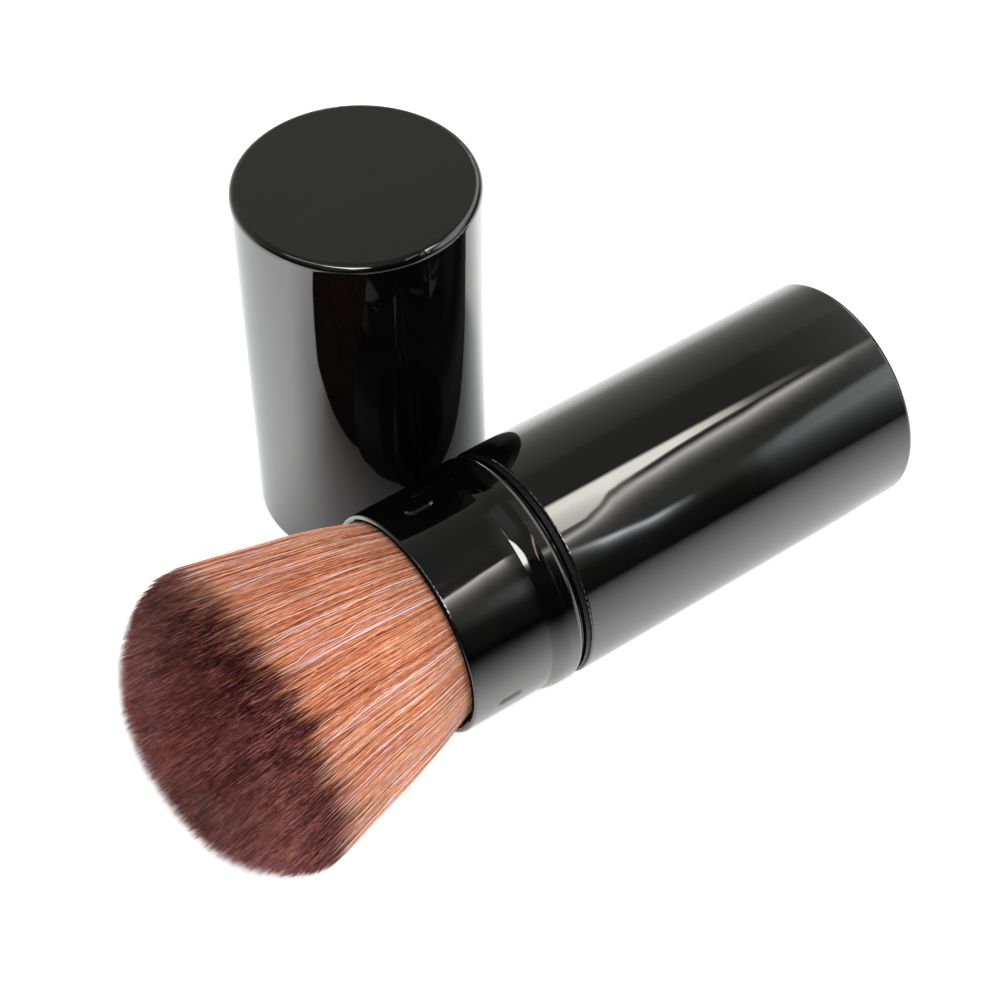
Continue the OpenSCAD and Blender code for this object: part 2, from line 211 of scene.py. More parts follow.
# Each panel: for places along x its upper edge, its lower edge, its level and the turn in which it
# fades to half below the lower edge; then how soft its upper edge is, its brightness and its colour.
# Shades dim what is behind them
panels = {
    "neckShade": {
        "stops": [(0.300, -22, 24, 1.0, 6), (0.380, -22, 24, 1.0, 6), (0.383, -22, 24, 0.0, 6)],
        "soft": 8.0, "strength": 0.78, "colour": (1.0, 1.0, 1.0), "blend": "MULTIPLY"},
    "ringShade": {
        "stops": [(0.3815, 37, 120, 0.0, 5), (0.3830, 37, 120, 1.0, 5), (0.3992, 37, 120, 1.0, 5),
                  (0.4005, 37, 120, 0.0, 5)],
        "soft": 4.0, "strength": 0.08, "colour": (1.0, 1.0, 1.0), "blend": "MULTIPLY"},
    "noseShade": {
        "stops": [(-0.480, 34, 120, 0.0, 5), (-0.440, 34, 120, 1.0, 5), (0.290, 34, 120, 1.0, 5),
                  (0.320, 34, 120, 0.0, 5)],
        "soft": 5.0, "strength": 0.10, "colour": (1.0, 1.0, 1.0), "blend": "MULTIPLY"},
    "lipShade": {
        "stops": [(-1.010, -120, 75, 1.0, 5), (-0.860, -120, 75, 1.0, 5), (-0.800, -120, 75, 0.0, 5)],
        "soft": 5.0, "strength": 0.15, "colour": (1.0, 1.0, 1.0), "blend": "MULTIPLY"},
    "ringBand": {
        "stops": [(0.3815, -25, 36, 0.0, 1.5), (0.3830, -25, 36, 1.0, 1.5), (0.3992, -25, 36, 1.0, 1.5),
                  (0.4005, -25, 36, 0.0, 1.5)],
        "soft": 6.0, "strength": 0.11, "colour": (1.0, 1.0, 0.96)},
    "endGlow": {
        "stops": [(-0.330, -24, 10, 0.0, 3), (-0.280, -24, 10, 1.0, 3), (0.060, -24, 10, 1.0, 3),
                  (0.130, -24, 10, 0.0, 3)],
        "soft": 5.0, "strength": 0.12, "colour": (0.90, 0.97, 1.0)},
    "clothCorner": {
        "stops": [(0.401, 0, 28.5, 0.0, 0.4), (0.404, 0, 28.5, 0.52, 0.4), (0.414, 0, 28, 0.52, 0.4),
                  (0.422, 0, 24, 0.58, 0.4), (0.430, 0, 16.5, 0.85, 0.4), (0.438, 0, 14, 1.0, 0.4),
                  (0.447, 0, 12, 1.0, 0.4), (0.462, 0, 9.5, 1.0, 0.4), (0.478, 0, 8, 0.75, 0.4),
                  (0.485, 0, 7.5, 0.47, 0.4), (0.493, 0, 7.5, 0.21, 0.4), (0.507, 0, 5.5, 0.08, 0.4),
                  (0.520, 0, 5.5, 0.0, 0.4)],
        "soft": 4.2, "strength": 7.0, "colour": (1.0, 0.985, 0.89)},
    "clothGlow": {
        "stops": [(0.401, 0, 10, 0.0, 7), (0.404, 0, 10, 1.0, 7), (0.422, 0, 10, 0.9, 7),
                  (0.437, 0, 10, 0.0, 7)],
        "soft": 4.2, "strength": 3.4, "colour": (1.0, 0.985, 0.89)},
    "clothFold": {
        "stops": [(0.389, 33, 38, 0.0, 1.6), (0.392, 33, 38, 0.36, 1.6), (0.401, 32, 38, 0.50, 1.6),
                  (0.405, 32, 38, 0.85, 1.6), (0.414, 30, 35, 0.85, 2.2),
                  (0.422, 26.5, 32.5, 0.90, 2.8), (0.430, 21, 28.5, 0.90, 3.2), (0.438, 17, 23, 1.0, 3.4),
                  (0.447, 15.5, 22, 0.95, 3.5), (0.462, 13, 19.5, 0.92, 3.5),
                  (0.478, 11.5, 18.5, 0.86, 3.5),
                  (0.493, 10.5, 16.5, 1.0, 3.5), (0.507, 8, 13.5, 0.95, 3.5), (0.514, 7.5, 13, 0.85, 3.5),
                  (0.521, 7, 13, 0.58, 3.5), (0.535, 6, 12, 0.28, 3.5), (0.570, 6, 11, 0.0, 3.5)],
        "soft": 6.5, "strength": 4.3, "colour": (1.0, 0.985, 0.93)},
    "clothNeck": {
        "stops": [(0.338, 30.5, 32.5, 0.0, 3.2), (0.346, 30.5, 32.5, 1.0, 3.2), (0.352, 30, 32, 1.0, 3.2),
                  (0.363, 27.5, 29.5, 1.0, 3.2), (0.372, 25.5, 27.5, 1.0, 3.2), (0.3795, 24, 26, 1.0, 3.2),
                  (0.3820, 23, 25, 0.0, 3.2)],
        "soft": 1.2, "strength": 4.7, "colour": (1.0, 0.96, 0.88)},
    "windowFront": {
        "stops": [(0.401, 42, 46, 0.2, 1.7), (0.411, 48, 53, 0.5, 1.7), (0.422, 51, 56, 1.0, 1.7),
                  (0.430, 53, 57.5, 0.78, 1.7), (0.438, 55, 60, 0.86, 1.7), (0.447, 55, 60, 0.60, 1.7),
                  (0.455, 55, 60, 0.0, 1.7)],
        "soft": 4.5, "strength": 4.7, "colour": (0.86, 0.95, 1.0)},
    "windowBack": {
        "stops": [(0.480, 48, 58, 0.0, 6.5), (0.495, 46, 58, 0.9, 6.5), (0.510, 41, 57, 1.0, 6.5),
                  (0.535, 36, 56, 1.0, 6.5), (0.620, 30, 56, 0.8, 6.5)],
        "soft": 7.0, "strength": 0.9, "colour": (0.92, 0.97, 1.0)},
    "windowSide": {
        "stops": [(0.352, 47, 62, 0.0, 3.5), (0.361, 46, 60, 0.17, 3.5), (0.370, 46, 60, 0.38, 3.5),
                  (0.380, 46, 60, 0.85, 3.5), (0.386, 46, 60, 0.0, 3.5)],
        "soft": 8.0, "strength": 0.42, "colour": (0.95, 0.98, 1.0)},
    "lampEnd": {
        "stops": [(-0.470, 4, 38, 0.0, 1.2), (-0.455, 4, 38, 1.0, 1.2), (-0.400, 4, 38, 1.0, 1.2),
                  (-0.330, 12, 38, 1.0, 1.2), (-0.270, 20, 38, 1.0, 1.2), (-0.225, 26, 34, 0.7, 1.2),
                  (-0.200, 28, 33, 0.0, 1.2)],
        "soft": 3.0, "strength": 8.6, "colour": (1.0, 1.0, 0.98)},
    "stripEnd": {
        "stops": [(-0.470, -24, 4, 0.0, 3.0), (-0.455, -24, 4, 1.0, 3.0), (-0.345, -24, 4, 1.0, 3.0),
                  (-0.330, -24, 4, 0.0, 3.0)],
        "soft": 4.0, "strength": 2.4, "colour": (1.0, 1.0, 1.0)},
    "pinkStrip": {
        "stops": [(0.160, 33, 40, 0.0, 0.8), (0.175, 33, 40, 1.0, 0.8), (0.220, 28, 34, 1.0, 0.8),
                  (0.280, 22, 27, 1.0, 0.8), (0.335, 15, 20, 0.8, 0.8), (0.345, 14, 19, 0.0, 0.8)],
        "soft": 2.0, "strength": 2.6, "colour": (1.0, 0.84, 0.78)},
    "roomEnd": {
        "stops": [(0.500, -62, 70, 0.0, 8.0), (0.520, -62, 70, 0.04, 8.0), (0.535, -62, 70, 0.10, 8.0),
                  (0.545, -62, 70, 0.22, 8.0), (0.575, -62, 70, 0.50, 8.0), (0.610, -62, 70, 0.8, 8.0),
                  (0.760, -62, 70, 1.0, 8.0), (0.900, -62, 70, 0.2, 8.0)],
        "soft": 25.0, "strength": 1.5, "colour": (0.98, 1.0, 1.0)},
}
turnScale = 200.0     # keeps edges and fades within a colour ramp's 0 to 1


def addPanel(t, panel, x, angle, total):
    stops = panel["stops"]
    first, last = stops[0][0], stops[-1][0]
    share = t.ramp(x, first, last, smooth=False)
    lowest = min(stop[1] for stop in stops)      # edges are kept as turns above the lowest one
    packed = [((at - first) / (last - first),
               ((top - lowest) / turnScale, (bottom - lowest) / turnScale, level,
                half / turnScale))
              for at, top, bottom, level, half in stops]
    curve = t.colours(share, packed)
    split = t.node("ShaderNodeSeparateColor")
    t.link(curve.outputs["Color"], split.inputs[0])
    top, bottom, level = split.outputs
    turned = t.math("MULTIPLY", t.math("SUBTRACT", angle, lowest), 1 / turnScale)
    upper = t.ramp(t.math("SUBTRACT", turned, top), 0.0, panel["soft"] / turnScale)
    beyond = t.math("MAXIMUM", t.math("SUBTRACT", turned, bottom), 0.0)
    halves = t.math("DIVIDE", beyond, curve.outputs["Alpha"])
    lower = t.math("POWER", 0.5, halves)
    inside = t.math("MULTIPLY", t.math("GREATER_THAN", x, first), t.math("LESS_THAN", x, last))
    mask = t.math("MULTIPLY", t.math("MULTIPLY", upper, lower), t.math("MULTIPLY", level, inside))
    colour = tuple(panel["strength"] * c for c in panel["colour"]) + (1,)
    lit = t.node("ShaderNodeMix", data_type="RGBA", blend_type=panel.get("blend", "ADD"),
                 clamp_result=False)
    t.put(lit.inputs[0], mask)
    t.put(lit.inputs[6], total)
    t.put(lit.inputs[7], colour)
    return lit.outputs[2]


def makeWorld(settings, panelList):
    world = bpy.data.worlds.new("studio")
    bpy.context.scene.world = world
    world.use_nodes = True
    t = Tree(world.node_tree)
    place = t.node("ShaderNodeTexCoord")
    split = t.node("ShaderNodeSeparateXYZ")
    t.link(place.outputs["Generated"], split.inputs[0])
    x, y, z = split.outputs
    angle = t.math("MULTIPLY", t.math("ARCTAN2", t.math("MULTIPLY", y, -1.0), z), 180 / math.pi)
    band = t.ramp(angle, -90.0, 90.0, smooth=False)
    stops = [((at + 90) / 180, tuple(level * c for c in settings["warm"]))
             for at, level in settings["skyBands"]]
    total = t.colours(band, stops).outputs["Color"]
    for panel in panelList.values():
        total = addPanel(t, panel, x, angle, total)
    rays = t.node("ShaderNodeLightPath")
    mirrored = t.math("MAXIMUM", rays.outputs["Is Glossy Ray"], rays.outputs["Is Transmission Ray"])
    left = settings["deepBounce"]
    deep = t.math("GREATER_THAN", rays.outputs["Glossy Depth"], settings["deepFrom"])
    total = t.mix(deep, total, (left, left, left, 1), "MULTIPLY")
    front, back, edge = settings["frontLight"], settings["backLight"], settings["plainEdge"]
    plain = t.mix(t.ramp(y, -edge, edge), (front, front, front, 1), (back, back, back, 1))
    seen = t.mix(mirrored, plain, total)
    seen = t.mix(rays.outputs["Is Camera Ray"], seen, (1, 1, 1, 1))
    background = t.node("ShaderNodeBackground")
    t.link(seen, background.inputs["Color"])
    out = t.node("ShaderNodeOutputWorld")
    t.link(background.outputs[0], out.inputs["Surface"])


makeWorld(studio, panels)

lamps = {
    "keyPanel": {"place": (0.20, -0.34, 0.46), "size": (0.30, 0.30), "power": 1.3,
                 "colour": (1.0, 0.97, 0.93)},
    "fillPanel": {"place": (-0.44, -0.20, 0.34), "size": (0.40, 0.40), "power": 1.3,
                  "colour": (0.96, 0.98, 1.0)},
}
lampAim = Vector((0.0, 0.0, 0.02))


def makeLamps(lampList):
    for name, settings in lampList.items():
        data = bpy.data.lights.new(name, "AREA")
        data.shape = "RECTANGLE"
        data.size, data.size_y = settings["size"]
        data.energy = settings["power"]
        data.color = settings["colour"]
        lamp = bpy.data.objects.new(name, data)
        bpy.context.scene.collection.objects.link(lamp)
        lamp.location = settings["place"]
        aim = lampAim - lamp.location
        lamp.rotation_euler = aim.to_track_quat("-Z", "Y").to_euler()
        lamp.visible_glossy = False
        lamp.visible_camera = False


makeLamps(lamps)

# The floor as mirrors see it is painted light and shade: painted brightest by the brush, it fades with
# distance, most of all towards the dark room in front
floorSetup = {
    "reach": 3.0,
    "drop": 0.05 * mm,
    "paper": 0.90,
    "glow": 0.54,
    "mirroredPaper": 0.95,
    "mirroredGlow": 0.04,
    "grain": {"Scale": 900.0, "Detail": 2.0, "Low": 0.3, "High": 0.7},
    "grainTone": 0.985,
    "cool": (0.99, 1.0, 1.0),
    "brightest": 1.45,
    "aheadFade": (98 * mm, 38 * mm),
    "behindBrightest": 2.2,
    "behindRise": 60 * mm,
    "behindFade": (70 * mm, 38 * mm),
    "behindLeast": 1.15,
    "paintedDarkSide": (-6.8 * mm, -5.0 * mm, 0.43),     # painted shade: beside the neck and ring it is darker; edges and slant
    "paintedDarkFrom": 25 * mm,
    "paintedDarkHalf": 42 * mm,
}


def makeFloor(settings):
    deselectAll()
    bpy.ops.mesh.primitive_plane_add(size=2 * settings["reach"], location=(0, 0, -settings["drop"]))
    board = bpy.context.active_object
    board.name = "floor_board"
    bpy.ops.object.transform_apply(location=True, rotation=True, scale=True)
    material, t = newMaterial("floorBoard")
    split = t.node("ShaderNodeSeparateXYZ")
    t.link(t.objectPlace(), split.inputs[0])
    ahead = t.math("SUBTRACT", axisY, split.outputs["Y"])
    rise, spread = settings["aheadFade"]
    front = t.math("DIVIDE", rise, t.math("ADD", t.math("MAXIMUM", ahead, 0.0), spread))
    rise, spread = settings["behindFade"]
    behind = t.math("MAXIMUM", t.math("MULTIPLY", ahead, -1.0), 0.0)
    back = t.math("ADD", settings["behindLeast"], t.math("DIVIDE", rise, t.math("ADD", behind, spread)))
    most = t.ramp(behind, 0.0, settings["behindRise"], settings["brightest"], settings["behindBrightest"])
    level = t.math("MINIMUM", front, t.math("MINIMUM", back, most))
    inner, outer, slant = settings["paintedDarkSide"]
    side = t.math("SUBTRACT", split.outputs["X"], t.math("MULTIPLY", ahead, slant))
    paintedDark = t.ramp(side, inner, outer, 1.0, 0.0)
    beyond = t.math("MAXIMUM", t.math("SUBTRACT", ahead, settings["paintedDarkFrom"]), 0.0)
    halves = t.math("MULTIPLY", t.math("DIVIDE", beyond, settings["paintedDarkHalf"]), paintedDark)
    level = t.math("MULTIPLY", level, t.math("POWER", 0.5, halves))
    rays = t.node("ShaderNodeLightPath")
    mirrored = t.math("MAXIMUM", rays.outputs["Is Glossy Ray"], rays.outputs["Is Transmission Ray"])
    deep = t.math("GREATER_THAN", rays.outputs["Glossy Depth"], studio["deepFrom"])
    level = t.math("MULTIPLY", level, t.ramp(deep, 0.0, 1.0, 1.0, studio["deepBounce"], smooth=False))
    grain = t.group(surfaceGrain, Vector=t.objectPlace(), **settings["grain"])
    tone = t.ramp(grain, 0.0, 1.0, settings["grainTone"], 1.0, smooth=False)
    # Painted light and shade: the floor's tone in mirrors follows the painted level
    paintedMirroredTone = t.math("MULTIPLY", level, settings["mirroredPaper"])
    plainTone = t.math("MULTIPLY", tone, settings["paper"])
    share = t.math("ADD", t.math("MULTIPLY", paintedMirroredTone, mirrored),
                   t.math("MULTIPLY", plainTone, t.math("SUBTRACT", 1.0, mirrored)))
    paper = t.node("ShaderNodeMix", data_type="RGBA", clamp_factor=False)
    t.put(paper.inputs[0], share)
    t.put(paper.inputs[6], (0, 0, 0, 1))
    t.put(paper.inputs[7], (*settings["cool"], 1))
    diffuse = t.node("ShaderNodeBsdfDiffuse")
    t.link(paper.outputs[2], diffuse.inputs["Color"])
    glow = t.node("ShaderNodeEmission")
    glow.inputs["Color"].default_value = (*settings["cool"], 1)
    mirroredGlow = t.math("MULTIPLY", t.math("MULTIPLY", level, mirrored), settings["mirroredGlow"])
    plainGlow = t.math("MULTIPLY", rays.outputs["Is Camera Ray"], settings["glow"])
    t.link(t.math("ADD", mirroredGlow, plainGlow), glow.inputs["Strength"])
    both = t.node("ShaderNodeAddShader")
    t.link(diffuse.outputs[0], both.inputs[0])
    t.link(glow.outputs[0], both.inputs[1])
    out = t.node("ShaderNodeOutputMaterial")
    t.link(both.outputs[0], out.inputs["Surface"])
    board.data.materials.append(material)


# Effects that several finishes share
def makeSurfaceGrain():
    sockets = [("Vector", "NodeSocketVector")]
    sockets += [(name, "NodeSocketFloat") for name in ("Scale", "Detail", "Low", "High")]
    t, given, out = newGroup("surfaceGrain", sockets, "Mask")
    noise = t.node("ShaderNodeTexNoise")
    t.link(given.outputs["Vector"], noise.inputs["Vector"])
    t.link(given.outputs["Scale"], noise.inputs["Scale"])
    t.link(given.outputs["Detail"], noise.inputs["Detail"])
    mask = t.ramp(noise.outputs["Fac"], given.outputs["Low"], given.outputs["High"])
    t.link(mask, out.inputs["Mask"])
    return t.tree


def makeDustSpecks():
    sockets = [("Vector", "NodeSocketVector")]
    sockets += [(name, "NodeSocketFloat") for name in ("Scale", "Size", "Share")]
    t, given, out = newGroup("dustSpecks", sockets, "Mask")
    cells = t.node("ShaderNodeTexVoronoi", feature="F1")
    t.link(given.outputs["Vector"], cells.inputs["Vector"])
    t.link(given.outputs["Scale"], cells.inputs["Scale"])
    split = t.node("ShaderNodeSeparateColor")
    t.link(cells.outputs["Color"], split.inputs[0])
    size = t.math("MULTIPLY", given.outputs["Size"], split.outputs[1])
    speck = t.math("LESS_THAN", cells.outputs["Distance"], size)
    chosen = t.math("LESS_THAN", split.outputs[0], given.outputs["Share"])
    t.link(t.math("MULTIPLY", speck, chosen), out.inputs["Mask"])
    return t.tree


surfaceGrain = makeSurfaceGrain()
dustSpecks = makeDustSpecks()
makeFloor(floorSetup)
print("studio ready")

blackMetalLook = {
    "dye": (0.0012, 0.0012, 0.0013, 1),
    "dyeHandled": (0.0022, 0.0022, 0.0022, 1),
    "dust": (0.10, 0.10, 0.10, 1),
    "ior": 1.9,
    "smooth": 0.03,
    "handled": 0.062,
    "dustRough": 0.4,
    "waveDepth": 0.03 * mm,
    "waveStrength": 0.25,
    "smudge": {"Scale": 85.0, "Detail": 4.0, "Low": 0.45, "High": 0.75},
    "specks": {"Scale": 420.0, "Size": 0.045, "Share": 0.010},
    "wave": {"Scale": 150.0, "Detail": 1.0, "Low": 0.0, "High": 1.0},
}


def blackMetal(look):
    material, t = newMaterial("blackMetal")
    smudge = t.group(surfaceGrain, Vector=t.objectPlace(), **look["smudge"])
    specks = t.group(dustSpecks, Vector=t.objectPlace(), **look["specks"])
    colour = t.mix(smudge, look["dye"], look["dyeHandled"])
    colour = t.mix(specks, colour, look["dust"])
    rough = t.ramp(smudge, 0.0, 1.0, look["smooth"], look["handled"], smooth=False)
    rough = t.math("ADD", rough, t.math("MULTIPLY", specks, look["dustRough"]))
    wave = t.group(surfaceGrain, Vector=t.objectPlace(), **look["wave"])
    t.principled(Base_Color=colour, Roughness=rough, IOR=look["ior"],
                 Normal=t.bump(wave, look["waveDepth"], look["waveStrength"]))
    return material


blackPlasticLook = {
    "colour": (0.0035, 0.0035, 0.0038, 1),
    "pale": (0.0080, 0.0080, 0.0085, 1),
    "specular": 0.22,
    "rough": (0.30, 0.40),
    "flowRough": 0.06,
    "depth": 0.02 * mm,
    "strength": 0.5,
    "grain": {"Scale": 2600.0, "Detail": 2.0, "Low": 0.3, "High": 0.7},
    "flow": {"Scale": 60.0, "Detail": 3.0, "Low": 0.35, "High": 0.7},
    "flowStretch": (1, 5, 5),
}


def blackPlastic(look):
    material, t = newMaterial("blackPlastic")
    grain = t.group(surfaceGrain, Vector=t.objectPlace(), **look["grain"])
    flow = t.group(surfaceGrain, Vector=t.objectPlace(look["flowStretch"]), **look["flow"])
    colour = t.mix(t.math("MULTIPLY", grain, flow), look["colour"], look["pale"])
    rough = t.ramp(grain, 0.0, 1.0, *look["rough"], smooth=False)
    rough = t.math("ADD", rough, t.math("MULTIPLY", flow, look["flowRough"]))
    t.principled(Base_Color=colour, Roughness=rough, Specular_IOR_Level=look["specular"],
                 Normal=t.bump(grain, look["depth"], look["strength"]))
    return material


cupMetalLook = {
    "name": "cupMetal",
    "colour": (0.030, 0.030, 0.033, 1),
    "pale": (0.055, 0.055, 0.060, 1),
    "rough": (0.24, 0.42),
}
screwSteelLook = {
    "name": "screwSteel",
    "colour": (0.40, 0.40, 0.42, 1),
    "pale": (0.56, 0.56, 0.57, 1),
    "rough": (0.20, 0.38),
}
drawnMarks = {
    "lines": {"Scale": 220.0, "Detail": 2.0, "Low": 0.3, "High": 0.7},
    "lineStretch": (1, 60, 60),
    "stain": {"Scale": 140.0, "Detail": 3.0, "Low": 0.4, "High": 0.8},
    "stainRough": 0.08,
    "depth": 0.01 * mm,
    "strength": 0.3,
}


def drawnMetal(look, marks):
    material, t = newMaterial(look["name"])
    lines = t.group(surfaceGrain, Vector=t.objectPlace(marks["lineStretch"]), **marks["lines"])
    stain = t.group(surfaceGrain, Vector=t.objectPlace(), **marks["stain"])
    colour = t.mix(lines, look["colour"], look["pale"])
    rough = t.ramp(lines, 0.0, 1.0, *look["rough"], smooth=False)
    rough = t.math("ADD", rough, t.math("MULTIPLY", stain, marks["stainRough"]))
    t.principled(Base_Color=colour, Roughness=rough, Metallic=1.0,
                 Normal=t.bump(lines, marks["depth"], marks["strength"]))
    return material


castResinLook = {
    "deep": (0.40, 0.22, 0.07, 1),
    "pale": (0.56, 0.37, 0.16, 1),
    "rough": (0.12, 0.25),
    "depth": 0.03 * mm,
    "strength": 0.4,
    "cloud": {"Scale": 300.0, "Detail": 3.0, "Low": 0.2, "High": 0.8},
}


def castResin(look):
    material, t = newMaterial("castResin")
    cloud = t.group(surfaceGrain, Vector=t.objectPlace(), **look["cloud"])
    colour = t.mix(cloud, look["deep"], look["pale"])
    rough = t.ramp(cloud, 0.0, 1.0, *look["rough"], smooth=False)
    t.principled(Base_Color=colour, Roughness=rough, Normal=t.bump(cloud, look["depth"], look["strength"]))
    return material


hardFinishes = [
    (blackMetal(blackMetalLook), ["outer_sleeve", "cap_shell", "neck_shell", "shoulder_ring"]),
    (blackPlastic(blackPlasticLook), ["sleeve_liner", "guide_tube", "base_plug", "stem"]),
    (drawnMetal(cupMetalLook, drawnMarks), ["brush_cup"]),
    (drawnMetal(screwSteelLook, drawnMarks), ["stem_screws"]),
    (castResin(castResinLook), ["root_potting"]),
]
for material, names in hardFinishes:
    for name in names:
        if not nodes[name].material_slots:
            nodes[name].data.materials.append(material)
        for slotItem in nodes[name].material_slots:
            slotItem.material = material
print("hard pieces finished")


# Bristles: one tapered strand, laid out thousands of times along bent paths. Lengths are in mm
bristleSetup = {
    "count": 47000,
    "sectors": 12,
    "seed": 11,
    "rootZ": -8.0,              # behind the mouth
    "rootR": 12.5,
    # the outermost strands, from the mouth to the wide end
    "sideZ": [0.0, 4.0, 8.0, 12.0, 16.0, 20.0, 25.5],
    "sideR": [14.7, 16.25, 17.55, 18.63, 19.63, 20.7, 22.1],
    "domeRise": 12.0,
    "domeFlat": 3.3,
    "domeRound": 1.45,
    "thick": 0.074,
    "tipThick": 0.050,
    "taperAt": [0, 0.60, 0.85, 1.0],
    "taperLate": 0.80,               # of the full thickness, at the last but one of these places
    "widths": (0.75, 1.15),
    "spread": 0.0018,                # unevenness of the strands' places, as shares of the tuft's radius
    "spreadRange": (0.002, 1.0),
    "ragged": 0.32,
    "locks": 2600,
    "lockSpread": 0.006,
    "lockLift": 0.15,
    "fineLocks": 9500,
    "fineLift": 0.34,
    "fineLiftRange": (-2.5, 1.2),
    "lockPull": 0.38,
    "pullShares": (0.2, 1.0),
    "pullPower": 1.5,
    "lockDepth": 0.20,
    "lockDepthRange": (-2, 0.4),
    "fineDepth": 0.12,
    "fineDepthRange": (-2, 1),
    "strandDepth": 0.14,
    "drift": 0.030,
    "wave": 0.30,
    "wavePower": 0.6,
    "waveLeastR": 2,
    "beat": (8, 24),
    "strayShare": 0.018,
    "strayWave": (0.4, 0.9),
    "strayLift": (0.1, 0.9),
    "strayOutShare": 0.35,
    "paintedGlintShare": 0.075,
    "outerShare": 0.88,
    "innerRings": 4,
    "outerRings": 13,
    "stepPower": 0.85,
    "dyeZ": 24.3,
    "dyeTilt": -1.8,
    "dyeTurn": math.radians(50),
    "dyeSpread": (0.8, 0.9, 0.9),    # by lock, by fine lock and by strand
    "dyedTip": 0.8,                  # what is dyed of even the shortest strand
    "tintShares": (0.52, 0.20, 0.16, 0.25, 0.04),    # strand, fine lock, lock, painted depth shade and all
    "tipShares": (0.25, 0.75, 0.14),                 # strand, fine lock, and painted light by the fine lock's lift
    "tipPower": 1.9,
    "paintedGlintTone": (0.90, 1.0),
    "tintMost": 0.88,
    "paintedLowLight": (math.radians(-118), 4, 0.28),        # painted light: where a side is paler, its turn, power and lift
    "paintedTopLight": (math.radians(62), 3, 0.14),
    # painted light and shade on the tips of the low rim and the far rim
    "paintedRimSide": (math.radians(-90), 2),
    "paintedRimFrom": [0.70, 0.82, 0.98],
    "paintedRimLift": [-0.12, 0.0, 0.28],
    "paintedFarTurn": math.radians(-20),
    "paintedFarFrom": (0.4, 0.4),
    "paintedFarLift": 0.52,
    "mapLength": 50.0,
    "mouthShift": (0.16, 0.12),      # up and across
    "shiftFade": 6.0,
    "sag": 2.8,
    "pressFrom": 6.27,
    "tableGap": 0.3,
    "gripLength": 12.5,
    "splay": 0.16,
    "pinch": 0.05,
    "keep": 0.575,
}


def evenSpread(count):
    # places spread evenly over a disc, on a spiral
    order = np.arange(count) + 0.5
    share = np.sqrt(order / count)
    turn = (order * math.pi * (3 - math.sqrt(5))) % (2 * math.pi)
    return share, turn


def findLocks(count, spread, rng, share, turn):
    # which lock each strand belongs to, and the lock's middle
    lockShare, lockTurn = evenSpread(count)
    lockTurn = lockTurn + rng.normal(0, spread, count)
    middle = np.stack([lockShare * np.cos(lockTurn), lockShare * np.sin(lockTurn)], -1)
    middle += rng.normal(0, spread, middle.shape)
    tree = KDTree(len(middle))
    for k, p in enumerate(middle):
        tree.insert((p[0], p[1], 0), k)
    tree.balance()
    lock = np.array([tree.find((a * math.cos(b), a * math.sin(b), 0))[1] for a, b in zip(share, turn)])
    return lock, middle


def layPaths(s, strands, steps):
    # middle lines as (strand, step, xyz): x up, y across and z away from the mouth, in mm
    share = strands["share"][:, None]
    wideZ, wideR = s["sideZ"][-1], s["sideR"][-1]
    reach = strands["reach"][:, None]
    z = s["rootZ"] + (reach - s["rootZ"]) * steps[None, :]
    along = np.clip(z / reach, 0, 1)
    r = share * np.interp(along * wideZ, s["sideZ"], s["sideR"])
    behind = np.clip(z / s["rootZ"], 0, 1)
    r = r * (1 - behind) + behind * share * s["rootR"]
    r = r + strands["depth"][:, None] * along * share
    ripple = strands["wave"][:, None] * np.sin(strands["phase"][:, None] + strands["beat"][:, None] * along)
    rippleTurn = (ripple * along ** s["wavePower"]) / np.maximum(r, s["waveLeastR"])
    turn = strands["turn"][:, None] + rippleTurn + strands["drift"][:, None] * along
    path = np.stack([r * np.cos(turn), r * np.sin(turn), z], -1)
    width = np.interp(along * wideZ, s["sideZ"], s["sideR"])[..., None]
    gather = (along ** s["pullPower"] * strands["pull"][:, None])[..., None]
    path[..., :2] += (strands["lockEnd"][:, None, :] * width - path[..., :2]) * gather
    outside = np.linalg.norm(path[..., :2], axis=-1, keepdims=True) / wideR
    path[..., :2] /= np.maximum(outside, 1)
    return path


def sagAndPress(path, s):
    # the tuft sinks under its own weight, and the floor presses its lowest strands up and apart
    free = np.clip(path[..., 2], 0, None)
    grip = np.clip(free / s["gripLength"], 0, 1)
    sag = s["sag"] * (free / (s["sideZ"][-1] + s["domeRise"])) ** 2
    widest = s["sideR"][-1] + s["thick"]
    scale = (barrelR / mm - s["tableGap"] - s["pressFrom"] - sag) / (widest - s["pressFrom"])
    deep = np.clip(-path[..., 0] - s["pressFrom"], 0, None)
    low = np.clip(-path[..., 0] / widest, 0, None)
    pressed = path.copy()
    pressed[..., 0] += grip * deep * (1 - scale) - sag
    pressed[..., 1] *= 1 + grip * (s["splay"] * low - s["pinch"])
    pressed[..., :2] += np.exp(-(path[..., 2:] / s["shiftFade"]) ** 2) * s["mouthShift"]
    return pressed


def modelStrand(rings):
    # a three-sided cone cut into rings; its z runs from 0 at the root to 1 at the tip
    deselectAll()
    bpy.ops.mesh.primitive_cone_add(vertices=3, radius1=1, radius2=0, depth=1, location=(0, 0, 0.5))
    strand = bpy.context.active_object
    bpy.ops.object.transform_apply(location=True, rotation=True, scale=True)
    bpy.ops.object.mode_set(mode="EDIT")
    for k in range(1, rings):
        bpy.ops.mesh.select_all(action="SELECT")
        bpy.ops.mesh.bisect(plane_co=(0, 0, k / rings), plane_no=(0, 0, 1))
    bpy.ops.mesh.select_all(action="SELECT")
    bpy.ops.mesh.quads_convert_to_tris()
    bpy.ops.mesh.normals_make_consistent(inside=False)
    bpy.ops.object.mode_set(mode="OBJECT")
    points = np.array([v.co[:] for v in strand.data.vertices])
    faces = np.array([f.vertices[:] for f in strand.data.polygons])
    bpy.data.meshes.remove(strand.data)
    return {"points": points, "faces": faces, "rings": rings}


